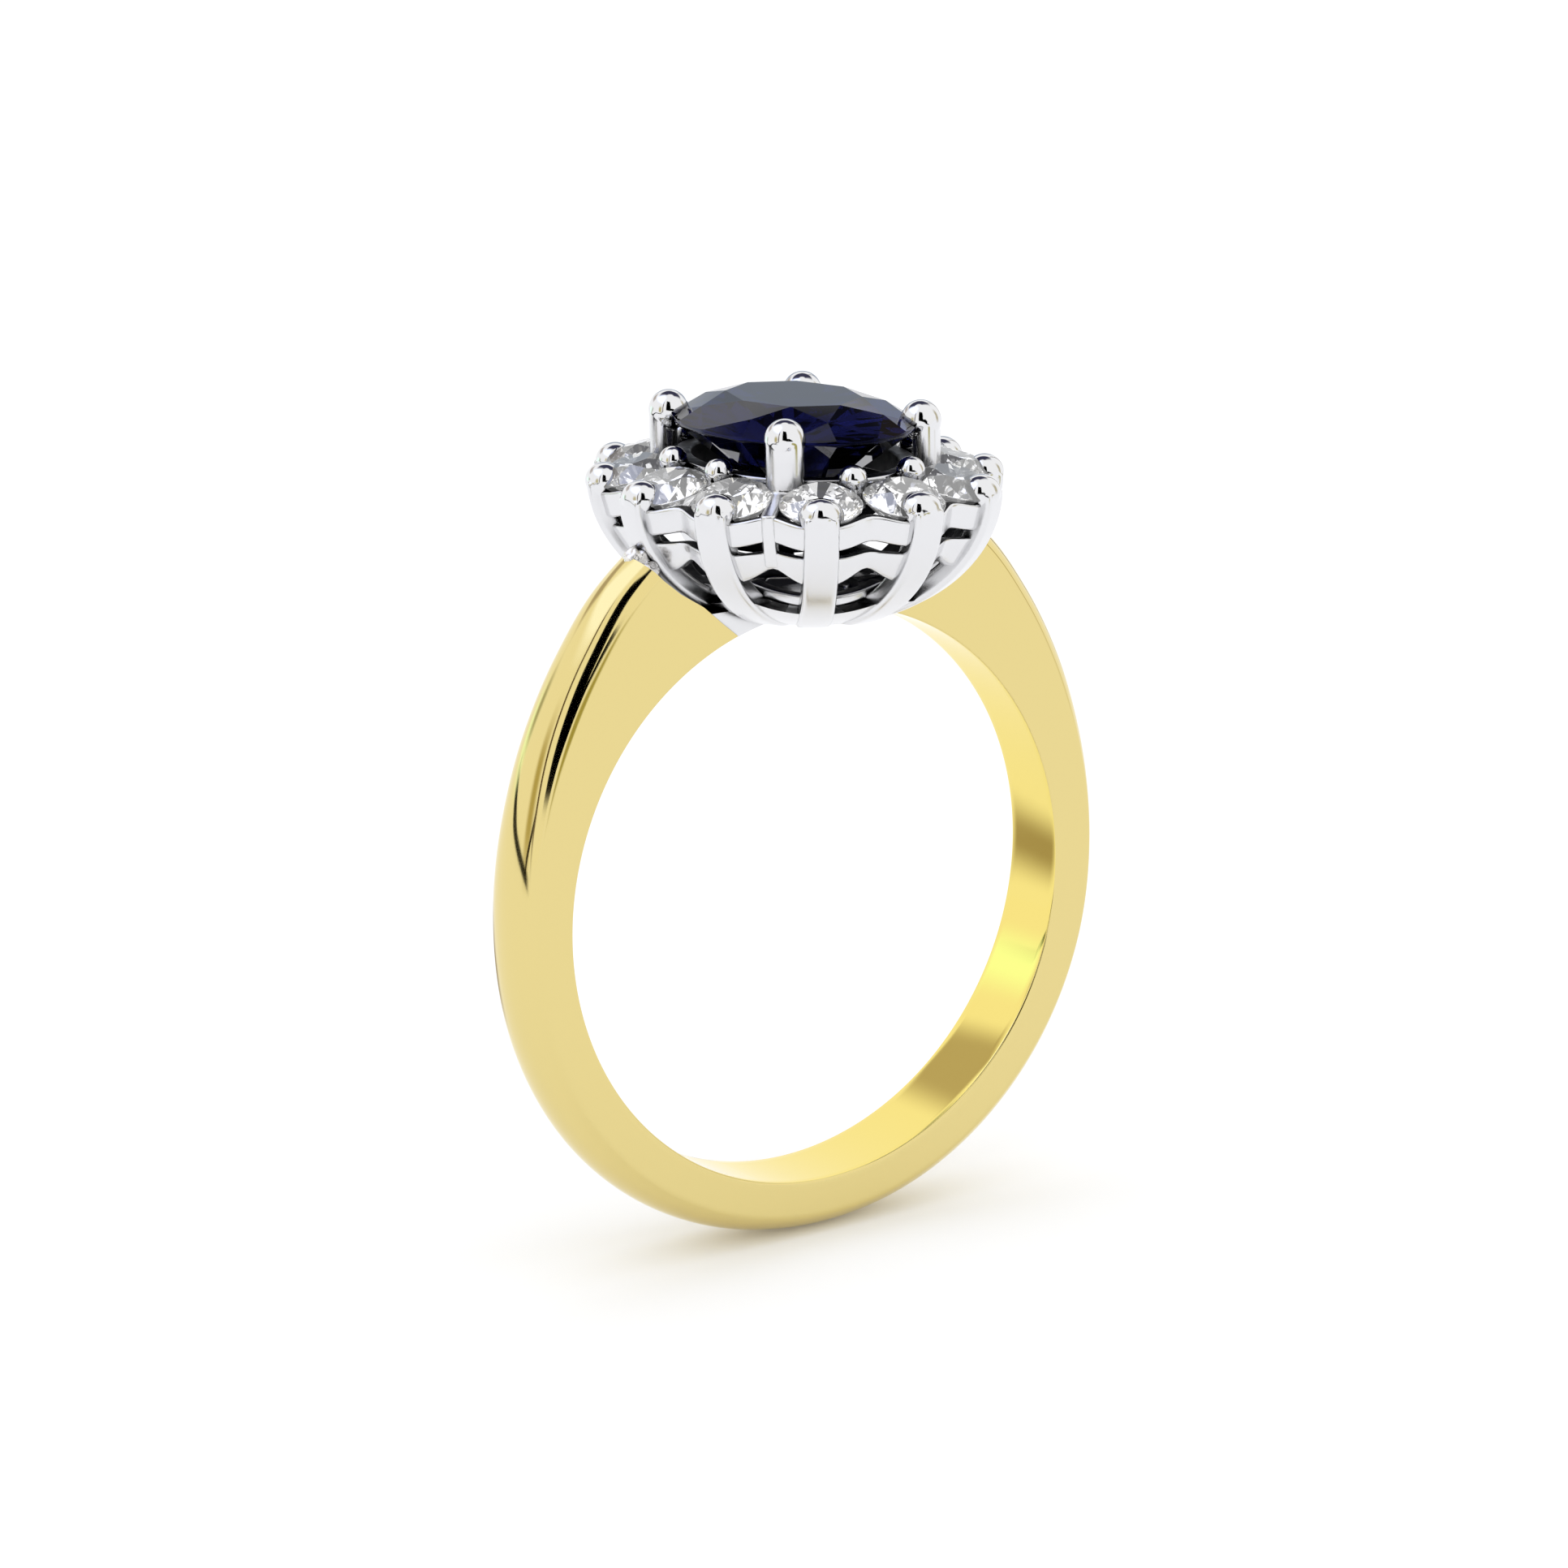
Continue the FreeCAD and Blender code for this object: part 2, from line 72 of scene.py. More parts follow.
# Shank
BORE_RADIUS = frame["record"]["mounts"][0]["dims"]["r_mm"]
SHANK_WIDTH = 2.13
WIDTH_LOSS = 0.04
SHANK_STATIONS = (
    (0, 1.63, 1.05),
    (25, 1.66, 1.06),
    (50, 1.66, 1.09),
    (72, 1.61, 1.15),
    (92, 1.61, 1.22),
    (110, 1.90, 1.42),
    (124, 2.32, 1.77),
    (136, 2.78, 2.23),
    (147, 3.28, 2.77),
    (163, 3.68, 3.35),
)
DOME_SPREAD = 1.10
BORE_EDGE_ROUNDING = 0.06
POLISH_LOSS = 0.002      # taken off the crest, so that it stays inside the CAD model's flat-sided mesh
BORE_MARGIN = 0.01       # faces nearer than this to the bore's surface get the deeper gold, a painted reflection of the bore in itself
CUT_FROM = 100.0         # degrees from the palm side; the head takes nothing of the shank below it
EVEN_SHARE = 0.62        # share of the shank's loops that stand below CUT_FROM
SCOOP_RADIUS = 6.05
SCOOP_CENTRE = (0.82, 14.16)
FOOT_HALF_TOP = 3.45
FOOT_HALF_BOTTOM = 2.50
FOOT_FLARE = 0.07        # what the foot's flanks gain by the height where they meet the bore
FOOT_Z = (7.80, 8.60)
FOOT_WIDTH = 1.76

# Basket
RIM = (5.55, 6.45)
FOOT = (0.95, 1.60)
RIM_Z = 11.90
DROP = 3.90
BOWL_POWER = 1.85
HALO_T = (0, 28, 58.5, 90, 121.5, 152, 180, 208, 238.5, 270, 301.5, 332)
HALO_SEMI = (4.20, 5.20)
HALO_Z = 12.08
HALO_STONE_RADIUS = 1.13
HALO_TILT = 15.0
CLAW_WIDTH = 0.95
CLAW_THICKNESS = 0.62
CLAW_BEAD_INSET = 0.49
CLAW_BEAD_RADII = (0.54, 0.60, 0.50)
RAIL_INSET = 0.20
RAIL_THICKNESS = 0.45
CUSP_DEPTH = 0.45
RAIL_SMOOTHING = 3       # passes
BASE_INSET = 0.26
BASE_TOP_Z = 8.88
BASE_HOLE = (1.60, 2.10)
LIP_DIP_Z = 8.80
LIP_RISE = 0.85
RING_SEMI = (3.20, 4.05)
RING_THICKNESS = 0.50
RING_LOW_Z = 8.98
RING_LOW_RISE = 0.50
RING_HIGH_Z = 9.30
RING_HIGH_RISE = 0.30
RING_LEAST_HEIGHT = 0.08
SEAT_Z = (11.75, 12.50)
ANY_HEIGHT = 20          # above the whole ring

# Centre stone and its claws
CENTRE_SEMI = (3.00, 4.00)
CENTRE_GIRDLE_Z = 13.55
CENTRE_CLAW = (2.36, 2.98)
CENTRE_CLAW_TOP_Z = 13.60
CENTRE_CLAW_LEVELS = (SEAT_Z[0], 12.3, 13.0, CENTRE_CLAW_TOP_Z)
CENTRE_CLAW_DEPTH = 0.69
CENTRE_CLAW_WIDTH = 1.04
CENTRE_BEAD_INSET = 0.16
CENTRE_BEAD_RADII = (0.57, 0.57, 0.58)
STRUT_LEVELS = (10.36, 10.6, 10.95, 11.3, 11.62, 11.86)
STRUT_TOP_Z = 12.35
STRUT_PROUD = 0.14       # how far struts stand out from the rails' cusps
STRUT_EXTRA = 0.05       # what they are thicker than the rails
STRUT_WIDTH = 0.42

# Halo beads: the post's profile is (radius, z), and the ball starts at an angle below its middle
BEAD_T = (15, 73.5, 106.5, 165, 195, 253.5, 286.5, 345)
BEAD_SEMI = (3.38, 4.35)
BEAD_Z = 12.56
BEAD_RADIUS = 0.40
BEAD_START = -32
BEAD_TIP = 0.012
BEAD_POST = ((0.34, 11.80), (0.34, 12.0), (0.34, 12.2), (0.335, 12.33))

# Solder at the shank's two tips: radius and centre of each lump, on the +X side
SOLDER_LUMPS = (
    (0.46, 5.18, 0.06, 10.16),
    (0.36, 5.08, -0.32, 9.90),
    (0.34, 5.02, 0.34, 9.84),
)
SOLDER_SHRINK = 0.04     # taken off each radius, so that the roughness stays near the CAD surface
SOLDER_ROUGHNESS = 0.07
SOLDER_GRAIN = 6.0

# Polish, wear and painted shade
PAINTED_SHADE_RAMP = (0.25, 0.62)   # openness at which the painted shade is darkest, and at which the metal is back to its polished colour
POLISH_BLEND = 0.5       # height over which the polish changes
POLISHED_SHARE = 0.3     # of the roughness, left above that height
LOOKS_DOWN = -0.6        # upward part of a normal below which a face counts as seen from below


def at(semi, t, z=0.0):
    """Place at oval parameter t, in degrees."""
    angle = math.radians(t)
    return Vector((semi[0] * math.cos(angle), semi[1] * math.sin(angle), z))


def bowl(z, inset=0.0):
    """Semi-axes of the basket's outside at height z, moved in by inset."""
    depth = (RIM_Z - min(z, RIM_Z)) / DROP
    spread = (1 - depth ** BOWL_POWER) ** (1 / BOWL_POWER)
    return [foot + (rim - foot) * spread - inset for foot, rim in zip(FOOT, RIM)]


def halve(low, high, holds, rounds=30):
    """Value from low to high up to which a test holds."""
    for _ in range(rounds):
        middle = (low + high) / 2
        if holds(middle):
            low = middle
        else:
            high = middle
    return low


# ---------------------------------------------------------------- materials

def new_material(name, constants):
    """Material whose shader has these constants on its own sockets."""
    material = bpy.data.materials.new(name)
    material.use_nodes = True
    tree = material.node_tree
    shader = tree.nodes["Principled BSDF"]
    for socket, value in constants.items():
        shader.inputs[socket].default_value = value
    return material, tree, shader


def noise_node(tree, scale, detail, squeeze=(1, 1, 1)):
    """Noise in object space; scale is in features per metre."""
    coords = tree.nodes.new("ShaderNodeTexCoord")
    mapping = tree.nodes.new("ShaderNodeMapping")
    mapping.inputs["Scale"].default_value = squeeze
    texture = tree.nodes.new("ShaderNodeTexNoise")
    texture.inputs["Scale"].default_value = scale
    texture.inputs["Detail"].default_value = detail
    tree.links.new(coords.outputs["Object"], mapping.inputs["Vector"])
    tree.links.new(mapping.outputs["Vector"], texture.inputs["Vector"])
    return texture.outputs["Fac"]


def ramp_range(tree, source, low, high):
    """Source, from 0.3 to 0.7, spread over low to high."""
    node = tree.nodes.new("ShaderNodeMapRange")
    node.inputs["From Min"].default_value = 0.3
    node.inputs["From Max"].default_value = 0.7
    node.inputs["To Min"].default_value = low
    node.inputs["To Max"].default_value = high
    tree.links.new(source, node.inputs["Value"])
    return node.outputs["Result"]


def add_bump(tree, shader, source, strength, distance):
    """Bump on a shader's normal; distance is in metres."""
    bump = tree.nodes.new("ShaderNodeBump")
    bump.inputs["Strength"].default_value = strength
    bump.inputs["Distance"].default_value = distance
    tree.links.new(source, bump.inputs["Height"])
    tree.links.new(bump.outputs["Normal"], shader.inputs["Normal"])


def painted_crevice_shade(tree, shader, polished, dark, distance):
    """Painted shade: base colour that falls from polished to dark in the metalwork's occluded depths;
    distance is in metres.
    """
    depth = tree.nodes.new("ShaderNodeAmbientOcclusion")
    depth.samples = 8
    depth.inputs["Distance"].default_value = distance
    ramp = tree.nodes.new("ShaderNodeValToRGB")
    for element, position, colour in zip(ramp.color_ramp.elements, PAINTED_SHADE_RAMP, (dark, polished)):
        element.position = position
        element.color = (*colour, 1)
    tree.links.new(depth.outputs["AO"], ramp.inputs["Fac"])
    tree.links.new(ramp.outputs["Color"], shader.inputs["Base Color"])


def yellow_gold(name, colour):
    """Polished yellow gold with a trace of wear."""
    material, tree, shader = new_material(name, {"Base Color": (*colour, 1), "Metallic": 1.0})
    wear = noise_node(tree, scale=900, detail=4)
    tree.links.new(ramp_range(tree, wear, low=0.05, high=0.09), shader.inputs["Roughness"])
    hairlines = noise_node(tree, scale=5200, detail=2, squeeze=(1, 6, 1))
    add_bump(tree, shader, hairlines, strength=0.006, distance=2e-6)
    return material


def white_gold(name, polished_z):
    """Rhodium-bright white gold, with painted shade that darkens it in the basket's depths, and brightest
    polish above a height.
    """
    material, tree, shader = new_material(name, {"Metallic": 1.0})
    painted_crevice_shade(tree, shader, polished=(0.76, 0.76, 0.77), dark=(0.02, 0.02, 0.022), distance=0.0012)
    wear = ramp_range(tree, noise_node(tree, scale=1500, detail=4), low=0.19, high=0.25)
    coords = tree.nodes.new("ShaderNodeTexCoord")
    split = tree.nodes.new("ShaderNodeSeparateXYZ")
    tree.links.new(coords.outputs["Object"], split.inputs["Vector"])
    height = tree.nodes.new("ShaderNodeMapRange")
    height.inputs["From Min"].default_value = (polished_z - POLISH_BLEND) * MM
    height.inputs["From Max"].default_value = polished_z * MM
    height.inputs["To Min"].default_value = 1.0
    height.inputs["To Max"].default_value = POLISHED_SHARE
    tree.links.new(split.outputs["Z"], height.inputs["Value"])
    polish = tree.nodes.new("ShaderNodeMath")
    polish.operation = "MULTIPLY"
    tree.links.new(wear, polish.inputs[0])
    tree.links.new(height.outputs["Result"], polish.inputs[1])
    tree.links.new(polish.outputs["Value"], shader.inputs["Roughness"])
    add_bump(tree, shader, noise_node(tree, scale=2600, detail=2), strength=0.05, distance=6e-6)
    return material


def dull_white_gold_painted_shade():
    """The same metal inside the basket, dull because no polishing wheel gets there, and painted near black
    as shade.
    """
    constants = {"Base Color": (0.012, 0.012, 0.014, 1), "Metallic": 1.0}
    material, tree, shader = new_material("dull_white_gold_painted_shade", constants)
    wear = noise_node(tree, scale=3000, detail=4)
    tree.links.new(ramp_range(tree, wear, low=0.35, high=0.6), shader.inputs["Roughness"])
    add_bump(tree, shader, noise_node(tree, scale=5000, detail=3), strength=0.2, distance=1e-5)
    return material


def white_solder():
    """Rough, bright solder, with painted shade that darkens its crevices."""
    material, tree, shader = new_material("white_solder", {"Metallic": 1.0})
    painted_crevice_shade(tree, shader, polished=(0.82, 0.80, 0.78), dark=(0.03, 0.025, 0.02), distance=0.0006)
    grain = noise_node(tree, scale=9000, detail=5)
    tree.links.new(ramp_range(tree, grain, low=0.12, high=0.4), shader.inputs["Roughness"])
    add_bump(tree, shader, noise_node(tree, scale=7000, detail=5), strength=0.6, distance=4e-5)
    return material


def sapphire():
    """Dark blue corundum, with faint zones of colour."""
    material, tree, shader = new_material("sapphire", {
        "Roughness": 0.0,
        "Transmission Weight": 1.0,
        "IOR": 1.77,
        "Specular Tint": (0.03, 0.035, 0.12, 1),
    })
    zones = tree.nodes.new("ShaderNodeValToRGB")
    zones.color_ramp.elements[0].color = (0.0015, 0.002, 0.018, 1)
    zones.color_ramp.elements[1].color = (0.005, 0.006, 0.05, 1)
    tree.links.new(noise_node(tree, scale=260, detail=1, squeeze=(1, 0.4, 1)), zones.inputs["Fac"])
    tree.links.new(zones.outputs["Color"], shader.inputs["Base Color"])
    return material


def diamond():
    """Colourless diamond, with a faint painted glow, though it is no lamp, that lifts its darkest facets."""
    return new_material("diamond", {
        "Base Color": (1.0, 1.0, 1.0, 1),
        "Roughness": 0.0,
        "Transmission Weight": 1.0,
        "IOR": 2.42,
        "Emission Color": (1, 1, 1, 1),
        "Emission Strength": 0.06,
    })[0]


MATERIALS = {
    "yellow_gold": yellow_gold("yellow_gold", (0.75, 0.62, 0.26)),
    # deeper gold for the bore: painted reflection, standing for the bore's reflections of itself
    "yellow_gold_painted_interreflection": yellow_gold("yellow_gold_painted_interreflection", (0.86, 0.70, 0.20)),
    "white_gold": white_gold("white_gold", polished_z=12.1),
    "white_gold_tall": white_gold("white_gold_tall", polished_z=13.5),
    "dull_white_gold_painted_shade": dull_white_gold_painted_shade(),
    "white_solder": white_solder(),
    "sapphire": sapphire(),
    "diamond": diamond(),
}


# ---------------------------------------------------------------- mesh tools

def grid_faces(rows, columns, close_rows=False, close_columns=True, first=0):
    """Quads of a grid of rows * columns points, numbered row by row."""
    faces = []
    for i in range(rows if close_rows else rows - 1):
        n = (i + 1) % rows
        for j in range(columns if close_columns else columns - 1):
            m = (j + 1) % columns
            faces.append([first + i * columns + j, first + i * columns + m,
                          first + n * columns + m, first + n * columns + j])
    return faces


def bm_from(points, faces):
    """Mesh, as bmesh, with its normals facing out."""
    bm = bmesh.new()
    verts = [bm.verts.new(point) for point in points]
    for face in faces:
        bm.faces.new([verts[i] for i in face])
    bmesh.ops.recalc_face_normals(bm, faces=bm.faces)
    return bm


def loft(loops, closed=False):
    """Mesh through loops of points, capped at both ends unless it closes on itself."""
    columns = len(loops[0])
    points = [point for row in loops for point in row]
    faces = grid_faces(len(loops), columns, close_rows=closed)
    if not closed:
        faces.append(list(range(columns)))
        faces.append(list(range(len(points) - columns, len(points))))
    return bm_from(points, faces)


def ellipsoid(centre, radii, turn=0.0, segments=40):
    """Round bead, its first radius along the level direction turn, in radians."""
    bm = bmesh.new()
    bmesh.ops.create_uvsphere(bm, u_segments=segments, v_segments=segments // 2, radius=1)
    place = Matrix.Translation(centre) @ Matrix.Rotation(turn, 4, "Z") @ Matrix.Diagonal((*radii, 1))
    bmesh.ops.transform(bm, matrix=place, verts=bm.verts)
    return bm


def mesh_of(bm, name):
    """Plain mesh of a bmesh, which is freed."""
    mesh = bpy.data.meshes.new(name)
    bm.to_mesh(mesh)
    bm.free()
    return mesh


def union(parts):
    """One mesh, as bmesh, of several closed ones."""
    objects = [bpy.data.objects.new("tool", mesh_of(bm, "tool")) for bm in parts]
    for obj in objects:
        bpy.context.scene.collection.objects.link(obj)
    base = objects[0]
    for other in objects[1:]:
        modifier = base.modifiers.new("union", "BOOLEAN")
        modifier.operation = "UNION"
        modifier.solver = "EXACT"
        modifier.object = other
    bpy.context.view_layer.update()
    joined = bpy.data.meshes.new_from_object(base.evaluated_get(bpy.context.evaluated_depsgraph_get()))
    bm = bmesh.new()
    bm.from_mesh(joined)
    for obj in objects:
        bpy.data.objects.remove(obj)
    return bm


def soften(bm, voxel, rounds):
    """Rebuild a solid as an even skin of quads and relax it, so joints and edges melt together."""
    obj = bpy.data.objects.new("tool", mesh_of(bm, "tool"))
    bpy.context.scene.collection.objects.link(obj)
    remesh = obj.modifiers.new("remesh", "REMESH")
    remesh.mode = "VOXEL"
    remesh.voxel_size = voxel
    relax = obj.modifiers.new("relax", "SMOOTH")
    relax.factor = 0.5
    relax.iterations = rounds
    bpy.context.view_layer.update()
    skin = bpy.data.meshes.new_from_object(obj.evaluated_get(bpy.context.evaluated_depsgraph_get()))
    bm = bmesh.new()
    bm.from_mesh(skin)
    bpy.data.objects.remove(obj)
    return bm


def shade(bm, angle):
    """Smooth faces with sharp edges where the surface turns by more than angle, in degrees."""
    limit = math.radians(angle)
    for face in bm.faces:
        face.smooth = True
    for edge in bm.edges:
        edge.smooth = len(edge.link_faces) == 2 and edge.calc_face_angle(math.pi) < limit


def piece(bm, node, slot, sharp=35, bevel=0.0, inside_below=None, facing=0.35):
    """Shown object that stands for a CAD node, from a mesh in millimetres.

    Below the height inside_below, faces that don't look outward or down get the dull inside metal,
    near black with painted shade; facing is how far a face has to look outward to count as polished.
    """
    bmesh.ops.scale(bm, vec=(MM, MM, MM), verts=bm.verts)
    if sharp:
        shade(bm, sharp)
    obj = bpy.data.objects.new(node + "_piece", mesh_of(bm, node + "_piece"))
    bpy.context.scene.collection.objects.link(obj)
    obj.data.materials.append(MATERIALS[slot])
    if inside_below is not None:
        # second material: near-black painted shade for faces inside the basket
        obj.data.materials.append(MATERIALS["dull_white_gold_painted_shade"])
        for face in obj.data.polygons:
            outward = Vector((face.center.x, face.center.y, 0)).normalized()
            in_painted_shade = face.normal.dot(outward) < facing and face.normal.z > LOOKS_DOWN
            if in_painted_shade and face.center.z < inside_below * MM:
                face.material_index = 1
    if bevel:
        modifier = obj.modifiers.new("bevel", "BEVEL")
        modifier.width = bevel * MM
        modifier.segments = 3
        modifier.limit_method = "ANGLE"
        modifier.angle_limit = math.radians(sharp)
        modifier.harden_normals = True
    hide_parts(node)
    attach(obj, "root")
    return obj


def rounded_square(radius_u, radius_v, steps=4):
    """Points (u, v) from 0 to 1 round a square whose corners have these radii."""
    loop = []
    corners = ((1, 1, 0), (0, 1, 90), (0, 0, 180), (1, 0, 270))
    for u, v, start in corners:
        for i in range(steps + 1):
            angle = math.radians(start + 90 * i / steps)
            centre_u = radius_u if u == 0 else 1 - radius_u
            centre_v = radius_v if v == 0 else 1 - radius_v
            loop.append((centre_u + radius_u * math.cos(angle), centre_v + radius_v * math.sin(angle)))
    return loop


# ---------------------------------------------------------------- shank

def thickness(turn):
    """Crest and side-edge thickness at an angle from the palm side, eased between the stations."""
    turn = abs(turn)
    rows = [(-SHANK_STATIONS[1][0],) + SHANK_STATIONS[1][1:]] + list(SHANK_STATIONS)
    rows.append((2 * rows[-1][0] - rows[-2][0],) + rows[-1][1:])
    i = max(k for k in range(1, len(rows) - 2) if rows[k][0] <= turn)
    before, start, end, after = rows[i - 1:i + 3]
    span = end[0] - start[0]
    p = (turn - start[0]) / span
    values = []
    for n in (1, 2):
        slope_start = (end[n] - before[n]) / (end[0] - before[0]) * span
        slope_end = (after[n] - start[n]) / (after[0] - start[0]) * span
        values.append((2 * p ** 3 - 3 * p ** 2 + 1) * start[n] + (p ** 3 - 2 * p ** 2 + p) * slope_start
                      + (3 * p ** 2 - 2 * p ** 3) * end[n] + (p ** 3 - p ** 2) * slope_end)
    return values


def shank_strands():
    """Half of the shank's section, from the bore's middle round to the crest, as (kind, share) keys."""
    strands = [("bore", 0.0), ("bore", 0.45), ("bore", 0.8)]
    strands += [("edge", i / 4) for i in range(5)]
    strands += [("side", p) for p in (0.15, 0.4, 0.65, 0.88)]
    strands += [("dome", i / 22) for i in range(23)]
    return strands


def shank_point(turn, strand):
    """Point of one strand, on the +Y half, at an angle from the palm side."""
    kind, p = strand
    crest, side = thickness(turn)
    crest -= POLISH_LOSS
    angle = math.radians(turn - 90)
    radial = Vector((math.cos(angle), 0, math.sin(angle)))
    rounding = BORE_EDGE_ROUNDING

    def half_width(radius):
        return (SHANK_WIDTH - WIDTH_LOSS * radius * radial.z) / 2

    if kind == "bore":
        return radial * BORE_RADIUS + Vector((0, p * (half_width(BORE_RADIUS) - rounding), 0))
    if kind == "edge":
        swing = math.radians(90 * p)
        across = half_width(BORE_RADIUS) - rounding * (1 - math.sin(swing))
        return radial * (BORE_RADIUS + rounding * (1 - math.cos(swing))) + Vector((0, across, 0))
    if kind == "side":
        radius = BORE_RADIUS + rounding + (side - rounding) * p
        return radial * radius + Vector((0, half_width(radius), 0))
    edge = BORE_RADIUS + side
    fall = math.sqrt(1 - DOME_SPREAD ** -2)
    rise = (crest - side) / (1 - fall)
    swing = math.acos(fall) * (1 - p)
    return (radial * (BORE_RADIUS + crest - rise * (1 - math.cos(swing)))
            + Vector((0, half_width(edge) * DOME_SPREAD * math.sin(swing), 0)))


def is_cut(point):
    """Whether the basket's hollow or the head's foot takes a point away from the shank."""
    x, z = abs(point.x), point.z
    in_scoop = math.hypot(x - SCOOP_CENTRE[0], z - SCOOP_CENTRE[1]) < SCOOP_RADIUS
    slope = (FOOT_HALF_TOP - FOOT_HALF_BOTTOM) / (FOOT_Z[1] - FOOT_Z[0])
    in_foot = z < FOOT_Z[1] and z > 0 and x < FOOT_HALF_BOTTOM + slope * (z - FOOT_Z[0])
    return in_scoop or in_foot


def strand_end(strand):
    """Angle at which a strand meets the cut."""
    return halve(CUT_FROM, SHANK_STATIONS[-1][0], lambda turn: not is_cut(shank_point(turn, strand)), 40)


def shank_turn(share, end):
    """Angle at a share of the way to a strand's end: the same for all strands up to CUT_FROM."""
    if share <= EVEN_SHARE:
        return CUT_FROM * share / EVEN_SHARE
    return CUT_FROM + (end - CUT_FROM) * (share - EVEN_SHARE) / (1 - EVEN_SHARE)


def end_caps(rows, columns, strand_count):
    """Strips of quads across the shank's two ends, from each strand to its mirror."""
    faces = []
    for first in (0, (rows - 1) * columns):
        for j in range(strand_count - 1):
            ring = [j, j + 1, columns - j - 1, (columns - j) % columns]
            unique = list(dict.fromkeys(first + k for k in ring))
            if len(unique) > 2:
                faces.append(unique)
    return faces


def shank():
    """Yellow gold band, with a deeper gold painted in the bore that stands for its reflections of itself."""
    strands = shank_strands()
    ends = [strand_end(strand) for strand in strands]
    steps = 150
    loops = []
    for i in range(-steps, steps + 1):
        share = abs(i) / steps
        half = [shank_point(math.copysign(shank_turn(share, end), i), strand)
                for strand, end in zip(strands, ends)]
        mirror = [Vector((p.x, -p.y, p.z)) for p in half[-2:0:-1]]
        loops.append(half + mirror)
    columns = len(loops[0])
    points = [point for row in loops for point in row]
    faces = grid_faces(len(loops), columns) + end_caps(len(loops), columns, len(strands))
    band = piece(bm_from(points, faces), "shank", "yellow_gold", sharp=50, bevel=0.05)
    band.visible_glossy = False
    band.visible_transmission = False
    # the bore's faces get the deeper gold, a painted reflection of the bore in itself
    band.data.materials.append(MATERIALS["yellow_gold_painted_interreflection"])
    for face in band.data.polygons:
        if math.hypot(face.center.x, face.center.z) < (BORE_RADIUS + BORE_MARGIN) * MM:
            face.material_index = 1


# ---------------------------------------------------------------- basket

def cusp_angles():
    """Oval parameters half-way from each halo stone to the next."""
    following = HALO_T[1:] + (360,)
    return [(a + b) / 2 for a, b in zip(HALO_T, following)]


def scallop_points(z, rise, inset, steps):
    """Points round a rail: a bulge at each stone, pinched in and up by rise between stones."""
    bulge_semi = bowl(z, inset)
    cusp_semi = bowl(z + rise, inset + CUSP_DEPTH)
    cusps = [at(cusp_semi, t, z + rise) for t in cusp_angles()]
    points = []
    for i, t in enumerate(HALO_T):
        start, end = cusps[i - 1], cusps[i]
        middle = (start + end) / 2
        lift = at(bulge_semi, t, z) - middle
        for k in range(steps):
            q = 2 * k / steps - 1
            points.append(middle + (end - start) / 2 * q + lift * (1 - q * q))
    for _ in range(RAIL_SMOOTHING):
        ahead = points[1:] + points[:1]
        points = [(points[k - 1] + point * 2 + ahead[k]) / 4 for k, point in enumerate(points)]
    return points


def scalloped_rail(node, heights, rises):
    """Rail between two heights, each with its own rise at the cusps."""
    steps = 20
    edges = []
    for z, rise in zip(heights, rises):
        for inset in (RAIL_INSET + RAIL_THICKNESS, RAIL_INSET):
            edges.append(scallop_points(z, rise, inset, steps))
    section = rounded_square(0.24, 0.13)
    loops = []
    for low_in, low_out, high_in, high_out in zip(*edges):
        loops.append([low_in.lerp(low_out, u).lerp(high_in.lerp(high_out, u), v) for u, v in section])
    piece(loft(loops, closed=True), node, "white_gold", inside_below=ANY_HEIGHT)


def oval_ring(node, semi, thickness_mm, heights, rounding):
    """Oval ring of rounded section."""
    section = rounded_square(rounding / thickness_mm, rounding / (heights[1] - heights[0]))
    loops = []
    for i in range(180):
        outer = at(semi, 2 * i)
        inner = at([s - thickness_mm for s in semi], 2 * i)
        loops.append([inner.lerp(outer, u) + Vector((0, 0, heights[0] + (heights[1] - heights[0]) * v))
                      for u, v in section])
    piece(loft(loops, closed=True), node, "white_gold", inside_below=ANY_HEIGHT)


def lower_ring():
    """Ring low in the basket that follows the dish's scalloped edge and thins towards its peaks."""
    section = rounded_square(0.2, 0.3)
    inner_semi = [semi - RING_THICKNESS for semi in RING_SEMI]
    loops = []
    for t in range(360):
        share = arch_share(t)
        low = RING_LOW_Z + RING_LOW_RISE * arch(t)
        high = RING_HIGH_Z + RING_HIGH_RISE * share * share
        high = max(high, low + RING_LEAST_HEIGHT)
        outer, inner = at(RING_SEMI, t), at(inner_semi, t)
        loops.append([inner.lerp(outer, u) + Vector((0, 0, low + (high - low) * v)) for u, v in section])
    piece(loft(loops, closed=True), "lower_gallery_ring", "white_gold", inside_below=ANY_HEIGHT)


def bore_z(x):
    """Height of the bore's surface."""
    return math.sqrt(BORE_RADIUS ** 2 - x * x)


def arch_share(t):
    """0 at every second claw, where the dish's edge dips, and 1 at the claws between, where it peaks."""
    dips = HALO_T[::2] + (360,)
    peaks = HALO_T[1::2]
    for i, peak in enumerate(peaks):
        if dips[i] <= t % 360 <= dips[i + 1]:
            dip = dips[i] if t % 360 <= peak else dips[i + 1]
            return min(abs(t % 360 - dip) / abs(peak - dip), 0.995)
    return 0.0


def arch(t):
    """Share of a quarter ellipse's height over the dip: flat in the dip, steep at the peak."""
    share = arch_share(t)
    return 1 - math.sqrt(1 - share * share)


